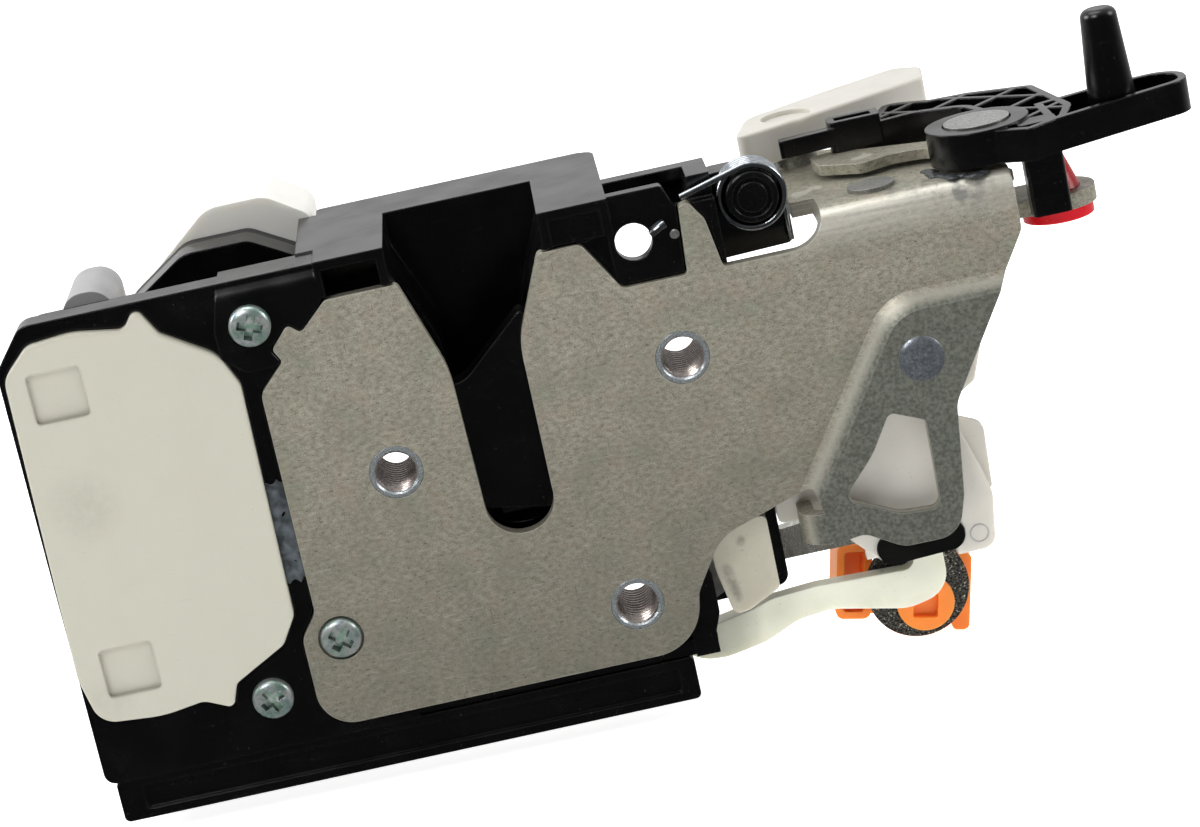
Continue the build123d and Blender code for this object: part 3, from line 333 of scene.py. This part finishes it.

# %% [markdown]
# ## Passivated zinc on the screws
# After plating, the screws are dipped in a passivating bath. The film is thinner than a wavelength
# of light in places, so it shows patches of blue and green between grey ones. In the recess the steep
# walls are painted dark as shade, and the floor, which faces out, is painted pale green to white as a
# highlight. The second material tells the two apart by the way each face points.

# %% Make the screw finish
material, tree, shader = new_material("passivated_zinc")
place = millimetres(tree)
normal, edge_wear_and_sheen = soft_edges(tree, 0.12)
film = noise(tree, place, 1.6, 2.0)
base = blend(tree, span(tree, film, 0.38, 0.60), "#94aea4", "#c3c8c6")
base = blend(tree, span(tree, noise(tree, place, 1.1, 2.0), 0.56, 0.66, 0.0, 0.5), base, "#7f93a8")
base = blend(tree, span(tree, noise(tree, place, 0.35, 2.0), 0.60, 0.70, 0.0, 0.5), base, "#5c5e58")
base = blend(tree, combine(tree, "MULTIPLY", edge_wear_and_sheen, 0.6), base, "#eef0ee")
apply(tree, shader, base, span(tree, film, 0.3, 0.7, 0.26, 0.4), bump(tree, normal, film, 0.02, 0.5), 0.75)
finishes["screw_zinc"] = material

material, tree, shader = new_material("cross_recess_shade_and_glint")
place = millimetres(tree)
facing = add_node(tree, "NewGeometry", {}).outputs["Normal"]
outward = add_node(tree, "SeparateXYZ", {0: facing}).outputs["Y"]
# Painted shade and highlight: the recess floor, which faces out, gets a pale green to white highlight, and
# the steep walls get dark shade.
floor_share = span(tree, outward, -0.55, -0.85)
base = blend(tree, span(tree, noise(tree, place, 0.7, 2.0), 0.40, 0.60), "#b4e0c8", "#fbfffc")
base = blend(tree, floor_share, "#616d68", base)
apply(tree, shader, base, 0.24, facing, 0.6)
finishes["screw_recess"] = material
print("screw finish:", material.name)

# %% [markdown]
# ## Moulded plastics
# All the plastic pieces are injection moulded. The tool gives each a faint orange peel of about a
# millimetre, slightly uneven gloss, and softly rounded edges. They differ in colour, in gloss and in
# how much light passes into them: nylon glows a little at its edges, acetal and the housing's filled
# plastic don't. Dust and fine scuffs show pale on black and dark on the light pieces, and the black
# plastic's edges are painted paler as a highlight. The pawl's tail has a few stained spots, and the
# cover a darker patch of painted shade at its left and a second darker patch lower down; each is
# given by its place, radius and strength.

# %% Make the moulded finishes
def moulded(name, code, roughness, stain, stain_share, speck, speck_share, depth_mm=0.0, edge_mm=0.3, edge_sheen=0.0,
            marks=()):
    material, tree, shader = new_material(name)
    place = millimetres(tree)
    normal, edge_wear_and_sheen = soft_edges(tree, edge_mm)
    peel = noise(tree, place, 1.1, 2.0)
    cloud = noise(tree, place, 9.0, 4.0)
    base = blend(tree, span(tree, cloud, 0.45, 0.70, 0.0, stain_share), code, stain)
    dust = span(tree, noise(tree, place, 0.45, 2.0), 0.70, 0.78, 0.0, speck_share)
    base = blend(tree, dust, base, speck)
    scuffs = noise(tree, stretched(tree, place, (5.0, 4.0, 0.12), 31), 1.0, 2.0)
    base = blend(tree, span(tree, scuffs, 0.70, 0.76, 0.0, speck_share * 0.5), base, speck)
    # Painted highlight: this share makes the rounded edges paler, and only the black plastic sets it.
    base = blend(tree, combine(tree, "MULTIPLY", edge_wear_and_sheen, edge_sheen), base, speck)
    for centre, radius, share in marks:
        mottled = span(tree, peel, 0.3, 0.6, 0.4, 1.0)
        patch = combine(tree, "MULTIPLY", near(tree, place, centre, radius), mottled)
        base = blend(tree, combine(tree, "MULTIPLY", patch, share), base, speck)
    rough = span(tree, cloud, 0.3, 0.7, roughness - 0.06, roughness + 0.1)
    rough = combine(tree, "ADD", rough, combine(tree, "MULTIPLY", dust, 0.2))
    apply(tree, shader, base, rough, bump(tree, normal, peel, 0.012, 0.7))
    if depth_mm:
        shader.inputs["Subsurface Weight"].default_value = 0.5
        shader.inputs["Subsurface Radius"].default_value = (1.0, 0.9, 0.75)
        shader.inputs["Subsurface Scale"].default_value = depth_mm * MM
    return material


tail_marks = [
    ((34.0, 2.9, -15.9), 1.1, 0.6), ((30.8, 2.9, -20.2), 1.3, 0.4), ((31.0, 2.9, -21.5), 1.4, 0.5),
    ((31.2, 2.9, -22.8), 1.4, 0.5), ((31.4, 2.9, -24.1), 1.4, 0.5), ((31.6, 2.9, -25.4), 1.2, 0.45),
]
# The first cover patch, at the left middle, is painted shade; the second is a darker patch lower on the
# cover.
cover_marks = [((-68.8, -0.5, 14.7), 7.0, 0.22), ((-73.0, -0.5, -19.0), 5.0, 0.15)]
black = moulded("black_filled_nylon", "#040405", 0.20, "#090909", 0.6, "#5a5955", 0.22, edge_mm=0.45,
                edge_sheen=0.07)
cream = moulded("cream_abs", "#b4b2a4", 0.42, "#b0ad9f", 0.35, "#7d786a", 0.5, edge_mm=0.7, marks=cover_marks)
clear = moulded("translucent_nylon", "#b3afa0", 0.30, "#9c9888", 0.5, "#55534a", 0.6, 3.0, marks=tail_marks)
finishes.update(black_plastic=black, cream_plastic=cream, clear_nylon=clear)
finishes["white_plastic"] = moulded("white_abs", "#f3f2ec", 0.40, "#e4e1d7", 0.3, "#9a978c", 0.4, 1.0)
finishes["grey_plastic"] = moulded("grey_abs", "#a2a2a3", 0.42, "#8b8b8e", 0.4, "#6a6a6f", 0.4)
finishes["white_nylon"] = moulded("white_nylon", "#cfccc4", 0.36, "#bdb9ae", 0.3, "#857f72", 0.4, 1.5)
finishes["pale_nylon"] = moulded("pale_nylon", "#e2e3d3", 0.36, "#c9cbb8", 0.5, "#6f6f62", 0.5, 1.5)
finishes["red_plastic"] = moulded("red_nylon", "#c8101f", 0.24, "#a50c18", 0.4, "#e06a70", 0.3, 0.8)
finishes["orange_plastic"] = moulded("orange_acetal", "#ff9036", 0.36, "#ff7a1e", 0.4, "#ffc794", 0.3, 2.0)
print("moulded:", len(finishes), "finishes so far")

# %% [markdown]
# ## Rubber, felt and the circuit board
# Soft pieces have no gloss to speak of. Felt is pressed wool with a speckle of pale fibres a few
# tenths of a millimetre long, and its surface is visibly rough.

# %% Make the soft finishes
finishes["black_rubber"] = moulded("black_rubber", "#070707", 0.52, "#121211", 0.6, "#55534c", 0.4)
finishes["board"] = moulded("green_board_lacquer", "#1d5a34", 0.35, "#17482a", 0.5, "#b0a060", 0.2)

material, tree, shader = new_material("pressed_felt")
place = millimetres(tree)
fibres = noise(tree, stretched(tree, place, (0.5, 0.25, 0.35)), 1.0, 4.0)
base = blend(tree, span(tree, fibres, 0.42, 0.60), "#0d0d0c", "#4a4943")
base = blend(tree, span(tree, noise(tree, place, 0.4, 3.0), 0.60, 0.68), base, "#a5a294")
plain_normal = add_node(tree, "NewGeometry", {}).outputs["Normal"]
apply(tree, shader, base, 0.95, bump(tree, plain_normal, fibres, 0.25, 1.0))
finishes["felt"] = material
print("all finishes:", len(finishes))

# %% [markdown]
# ## Dress the CAD pieces
# The record says which finish each piece has, and here each gets it on all of its slots. The inside
# lever is plated like the face plate, but it is rubbed bright, so it gets a smoother finish.

# %% Dress every node
def dress(piece, finish):
    piece.data.materials.clear()
    piece.data.materials.append(finish)


for entry in frame["record"]["subparts"]:
    dress(frame["nodes"][entry["node"]], finishes[entry["material_slot"]])
dress(frame["nodes"]["inside_lever"], finishes["lever_steel"])

# %% [markdown]
# ## Turned pieces
# A turned piece is a profile spun about its axis, which is also how a lathe makes it. One function
# spins a profile of radius and depth, and another puts a finished mesh into the scene. Faces that
# meet at less than 35 degrees are shaded smooth. A profile that closes on its axis starts a thousandth
# of a millimetre from it.

# %% Define the turning helpers
axis_r = 0.001


def spin_profile(bm, profile, steps):
    """Spin a closed profile of (radius, depth) in millimetres about the depth axis."""
    points = [bm.verts.new((radius * MM, depth * MM, 0)) for radius, depth in profile]
    lines = [bm.edges.new((points[place - 1], points[place])) for place in range(len(points))]
    bmesh.ops.spin(
        bm, geom=points + lines, cent=(0, 0, 0), axis=(0, 1, 0), angle=2 * math.pi, steps=steps,
        use_merge=True,
    )


def finish_piece(bm, name, finish, shift=(0, 0, 0), smooth=35):
    bmesh.ops.recalc_face_normals(bm, faces=bm.faces)
    bmesh.ops.translate(bm, vec=Vector(shift) * MM, verts=bm.verts)
    mesh = bpy.data.meshes.new(name)
    bm.to_mesh(mesh)
    bm.free()
    mesh.shade_smooth()
    mesh.set_sharp_from_angle(angle=math.radians(smooth))
    mesh.materials.append(finish)
    piece = bpy.data.objects.new(name, mesh)
    bpy.context.scene.collection.objects.link(piece)
    return piece


print("turning helpers ready")

# %% [markdown]
# ## Threaded bushes
# The three door screws enter long threaded bushes that are staked into the face plate. The thread is
# cut after turning: a small V that climbs 1.25 mm each turn. Here one V is spun about the axis while
# it moves along it, which gives the true helix, and the ends are cut square as the bush's are. The
# collar in front has a chamfered mouth that leads the screw in.

# %% Make the threaded bushes
bush_depth = 17.5
collar_r = 4.4
collar_depth = 2.5
body_r = 5.5
body_end = 15.0
bore_r = 3.42
mouth_r = 3.78
thread_pitch = 1.25
thread_crest = 3.33
thread_root = 3.95
thread_turns = 16
turn_steps = 40


def make_thread(bm):
    section = [
        (thread_root, 0.0), (thread_root, 0.12), (thread_crest, 0.5), (thread_crest, 0.68),
        (thread_root, 1.0),
    ]
    points = [bm.verts.new((radius * MM, (share - 1) * thread_pitch * MM, 0)) for radius, share in section]
    lines = [bm.edges.new(pair) for pair in zip(points, points[1:])]
    climb = thread_pitch * MM / turn_steps
    bmesh.ops.spin(
        bm, geom=points + lines, cent=(0, 0, 0), axis=(0, 1, 0), dvec=(0, climb, 0),
        angle=2 * math.pi * thread_turns, steps=turn_steps * thread_turns,
    )
    bmesh.ops.remove_doubles(bm, verts=bm.verts, dist=0.002 * MM)
    for depth, side in ((0.4, -1), (bush_depth - 0.4, 1)):
        everything = bm.verts[:] + bm.edges[:] + bm.faces[:]
        bmesh.ops.bisect_plane(
            bm, geom=everything, plane_co=(0, depth * MM, 0), plane_no=(0, side, 0), clear_outer=True,
        )
    bmesh.ops.recalc_face_normals(bm, faces=bm.faces)
    bmesh.ops.solidify(bm, geom=bm.faces[:], thickness=0.1 * MM)


def make_bush(name, x, z, turn):
    bm = bmesh.new()
    make_thread(bm)
    for face in bm.faces:
        face.material_index = 1
    spin_profile(bm, [
        (bore_r, 0.42), (mouth_r, 0.0), (collar_r - 0.12, 0.0), (collar_r, 0.12),
        (collar_r, collar_depth), (body_r, collar_depth), (body_r, body_end), (collar_r, body_end),
        (collar_r, bush_depth), (mouth_r, bush_depth), (bore_r, bush_depth - 0.42),
        (4.0, bush_depth - 0.43), (4.0, 0.43),
    ], 64)
    bmesh.ops.rotate(bm, cent=(0, 0, 0), matrix=Matrix.Rotation(math.radians(turn), 3, "Y"), verts=bm.verts)
    bush = finish_piece(bm, name + "_threaded", finishes["bush_steel"], (x, 0, z))
    bush.data.materials.append(finishes["thread_steel"])
    return bush


bush_places = {
    "claw_bush": (-18.5, 9.1, 0),
    "pawl_bush": (15.2, -21.8, 130),
    "spacer_bush": (30.8, 17.7, 250),
}
for name, (x, z, turn) in bush_places.items():
    piece = make_bush(name, x, z, turn)
    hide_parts(name)
    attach(piece, "case")
    print(piece.name, len(piece.data.polygons), "faces")

# %% [markdown]
# ## The bellcrank's stud
# The stud that the bellcrank turns on is riveted over the raised arm. The tool that forms the head
# leaves it crowned, with a small dent from its centre pin, and the heat tints it faintly blue. The
# whole stud is one spun profile with its steps for the levers, so it stands for the CAD's plain one.

# %% Make the stud
stud_x, stud_z = 68.5, 9.6
head_profile = [
    (axis_r, -2.60), (0.35, -2.63), (0.75, -2.84), (1.2, -2.9), (2.1, -2.84), (2.9, -2.68),
    (3.5, -2.44), (3.8, -2.2),
]
step_profile = [
    (3.0, -2.2), (3.0, 0.3), (4.2, 0.3), (4.2, 2.8), (3.0, 2.8), (3.0, 7.1), (5.0, 7.1), (5.0, 13.5),
    (3.0, 13.5), (3.0, 16.2), (4.8, 16.2), (4.8, 17.5), (axis_r, 17.5),
]
finishes["stud_steel"] = steel("tinted_stud_steel", "#a4abb3", "#6f757c", 0.30, (0.5, 0.5, 0.5))
bm = bmesh.new()
spin_profile(bm, head_profile + step_profile, 64)
stud = finish_piece(bm, "crowned_stud", finishes["stud_steel"], (stud_x, 0, stud_z))
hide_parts("bellcrank_stud")
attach(stud, "case")
print(stud.name, len(stud.data.polygons), "faces")

# %% [markdown]
# ## Pan head screws
# The cover and the plate are held by three small thread forming screws with a pan head and a cross
# recess. A punch forms the recess, so its four wings taper towards the bottom. The head is spun from
# its profile, and the wings are taken out of it as two crossed tapered blades.

# %% Make the screws
head_r = 3.4
head_height = 1.9
shank_r = 1.65
shank_depth = 10.0
wing_span = 2.2
recess_depth = 1.45


def cut_with(target, cutter):
    """Take one object out of another, and keep the result as a plain mesh."""
    modifier = target.modifiers.new("recess", "BOOLEAN")
    modifier.object = cutter
    modifier.solver = "EXACT"
    seen = target.evaluated_get(bpy.context.evaluated_depsgraph_get())
    mesh = bpy.data.meshes.new_from_object(seen)
    target.modifiers.clear()
    target.data = mesh
    bpy.data.objects.remove(cutter)


def make_blade(turn):
    bm = bmesh.new()
    bmesh.ops.create_cone(
        bm, cap_ends=True, segments=4, radius1=wing_span * 1.45 * MM, radius2=wing_span * 1.1 * MM,
        depth=recess_depth * 1.4 * MM,
    )
    bmesh.ops.rotate(bm, cent=(0, 0, 0), matrix=Matrix.Rotation(math.radians(45), 3, "Z"), verts=bm.verts)
    bmesh.ops.scale(bm, vec=(1, 0.34, 1), verts=bm.verts)
    bmesh.ops.rotate(bm, cent=(0, 0, 0), matrix=Matrix.Rotation(math.radians(-90), 3, "X"), verts=bm.verts)
    bmesh.ops.rotate(bm, cent=(0, 0, 0), matrix=Matrix.Rotation(math.radians(turn), 3, "Y"), verts=bm.verts)
    shift = (0, recess_depth - head_height - recess_depth * 0.7, 0)
    for face in bm.faces:
        face.material_index = 1
    blade = finish_piece(bm, "blade", finishes["screw_zinc"], shift)
    blade.data.materials.append(finishes["screw_recess"])
    return blade


bm = bmesh.new()
spin_profile(bm, [
    (axis_r, -head_height), (2.2, -head_height + 0.06), (2.9, -head_height + 0.28),
    (3.25, -head_height + 0.66), (head_r, -head_height + 1.1), (head_r, 0.0), (shank_r, 0.0),
    (shank_r, shank_depth), (axis_r, shank_depth),
], 48)
screw = finish_piece(bm, "screw", finishes["screw_zinc"])
screw.data.materials.append(finishes["screw_recess"])
for turn in (0, 90):
    cut_with(screw, make_blade(turn))

screw_places = [(-35.9, 0.0, 38.2, 20), (-46.9, 1.0, -24.5, 62), (-33.6, 0.9, -16.6, 38)]
bm = bmesh.new()
for x, y, z, turn in screw_places:
    before = len(bm.verts)
    bm.from_mesh(screw.data)
    fresh = bm.verts[before:]
    bmesh.ops.rotate(bm, cent=(0, 0, 0), matrix=Matrix.Rotation(math.radians(turn), 3, "Y"), verts=fresh)
    bmesh.ops.translate(bm, vec=Vector((x, y, z)) * MM, verts=fresh)
bpy.data.objects.remove(screw)
screws = finish_piece(bm, "cross_recess_screws", finishes["screw_zinc"])
screws.data.materials.append(finishes["screw_recess"])
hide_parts("case_screws")
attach(screws, "case")
print(screws.name, len(screws.data.polygons), "faces")

# %% [markdown]
# ## Small marks and pins
# Ejector pins push a moulding out of its tool and leave a shallow ring where they stood. One shows
# on the hood and one on the foot of the bellcrank. A thin steel pin and the cut end of a wire show
# beside the locator hole.

# %% Add the ring marks and the pins
def ring_mark(name, x, y, z, radius, finish):
    """Low ring on a face that looks forward."""
    bm = bmesh.new()
    spin_profile(bm, [
        (radius - 0.14, 0.05), (radius - 0.08, -0.06), (radius + 0.08, -0.06), (radius + 0.14, 0.05),
    ], 48)
    return finish_piece(bm, name, finish, (x, y, z))


hood_mark = ring_mark("hood_ejector_ring", 19.2, 0.6, 41.9, 2.2, finishes["black_plastic"])
crank_mark = ring_mark("bellcrank_ejector_ring", 73.0, 2.9, -23.4, 1.5, finishes["white_nylon"])
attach(crank_mark, "crank")

bm = bmesh.new()
spin_profile(bm, [(axis_r, 3.6), (0.8, 3.6), (0.8, 0.7), (0.65, 0.5), (axis_r, 0.5)], 24)
wire_end = finish_piece(bm, "wire_end", finishes["rivet_steel"], (33.6, 0, 37.8))
bm = bmesh.new()
spin_profile(bm, [(axis_r, 1.5), (0.6, 1.5), (0.7, 1.35), (0.7, -1.35), (0.6, -1.5), (axis_r, -1.5)], 24)
bmesh.ops.rotate(bm, cent=(0, 0, 0), matrix=Matrix.Rotation(math.radians(90), 3, "Z"), verts=bm.verts)
bmesh.ops.rotate(bm, cent=(0, 0, 0), matrix=Matrix.Rotation(math.radians(-28), 3, "Y"), verts=bm.verts)
steel_pin = finish_piece(bm, "steel_pin", finishes["spring_steel"], (31.1, 0.4, 39.3))

for piece in (hood_mark, wire_end, steel_pin):
    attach(piece, "case")
print("marks:", hood_mark.name, crank_mark.name, wire_end.name, steel_pin.name)

# %% [markdown]
# ## Grease
# The lever pivots are greased when the latch is assembled, and the surplus is squeezed out round the
# foot of the boss. It lies there as small overlapping drops, flattened by their own weight.

# %% Lay the grease
grease, tree, shader = new_material("pivot_grease")
shader.inputs["Base Color"].default_value = colour("#3c3f42")
shader.inputs["Roughness"].default_value = 0.16
shader.inputs["Transmission Weight"].default_value = 0.35

boss_x, boss_y, boss_r = 85.6, 10.5, 8.5
flange_top = 36.5
draw = random.Random(7)
bm = bmesh.new()
for step in range(34):
    angle = math.radians(draw.uniform(172, 262))
    reach = boss_r + draw.uniform(-0.3, 1.4)
    drop = bmesh.ops.create_icosphere(bm, subdivisions=3, radius=draw.uniform(0.4, 0.95) * MM)["verts"]
    bmesh.ops.scale(bm, vec=(draw.uniform(1.0, 1.8), 1.0, 0.45), verts=drop)
    centre = Vector((boss_x + reach * math.cos(angle), boss_y + reach * math.sin(angle), flange_top + 0.05))
    bmesh.ops.translate(bm, vec=centre * MM, verts=drop)
drops = finish_piece(bm, "grease_drops", grease, smooth=180)
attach(drops, "case")
print(drops.name, len(drops.data.polygons), "faces")

# %% [markdown]
# ## Sealing grease beside the cover
# Between the cover and the plate the housing carries a film of clear sealing grease. It is a thin
# sheet that fills the gap. Its points are moved at random and then smoothed, so that it ripples as a
# thick film does. Each column of points is shortened as a whole, which makes the ends uneven and
# keeps the sheet from folding over itself.

# %% Lay the film
film_grease, tree, shader = new_material("clear_sealing_grease")
mottle = noise(tree, millimetres(tree), 2.4, 2.0)
film_base = blend(tree, span(tree, mottle, 0.42, 0.64), "#34383b", "#575d61")
tree.links.new(film_base, shader.inputs["Base Color"])
shader.inputs["Roughness"].default_value = 0.12

film_left, film_right, film_top, film_bottom, film_front = -40.0, -35.6, 12.0, -6.0, 0.8
film_ripple = 0.7
film_thickness = 0.15
bm = bmesh.new()
bmesh.ops.create_grid(bm, x_segments=16, y_segments=64, size=0.5)
bmesh.ops.scale(bm, vec=((film_right - film_left) * MM, (film_top - film_bottom) * MM, 1), verts=bm.verts)
for point in bm.verts:
    point.co.z = draw.uniform(-film_ripple, film_ripple) * MM
    point.co.y *= 1.0 - 0.08 * abs(math.sin(1.7 * point.co.x / MM))
for step in range(7):
    bmesh.ops.smooth_vert(bm, verts=bm.verts, factor=0.5, use_axis_z=True)
bmesh.ops.solidify(bm, geom=bm.faces[:], thickness=film_thickness * MM)
bmesh.ops.rotate(bm, cent=(0, 0, 0), matrix=Matrix.Rotation(math.radians(90), 3, "X"), verts=bm.verts)
film_place = ((film_left + film_right) / 2, film_front, (film_top + film_bottom) / 2)
film = finish_piece(bm, "sealing_grease", film_grease, film_place, smooth=180)
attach(film, "case")
print(film.name, len(film.data.polygons), "faces,", [round(side / MM, 1) for side in film.dimensions], "mm")

# %% [markdown]
# ## The floor
# A sheet of white paper lies under the latch. Mirror-like rays pass it by, so that the black fronts
# reflect the dim room in front and not the paper.

# %% Lay the paper
floor_z = cad_box[0][2] / MM - 0.2
half_width = 6.0
bm = bmesh.new()
bmesh.ops.create_grid(bm, x_segments=1, y_segments=1, size=half_width)
floor = finish_piece(bm, "paper_floor", finishes["white_plastic"], (0, 0, floor_z))
paper, tree, shader = new_material("white_paper")
shader.inputs["Base Color"].default_value = colour("#fafafa")
shader.inputs["Roughness"].default_value = 0.9
shader.inputs["Emission Color"].default_value = colour("#ffffff")
shader.inputs["Emission Strength"].default_value = 0.88
dress(floor, paper)
floor.visible_glossy = False
print("floor at", round(floor_z, 2), "mm")
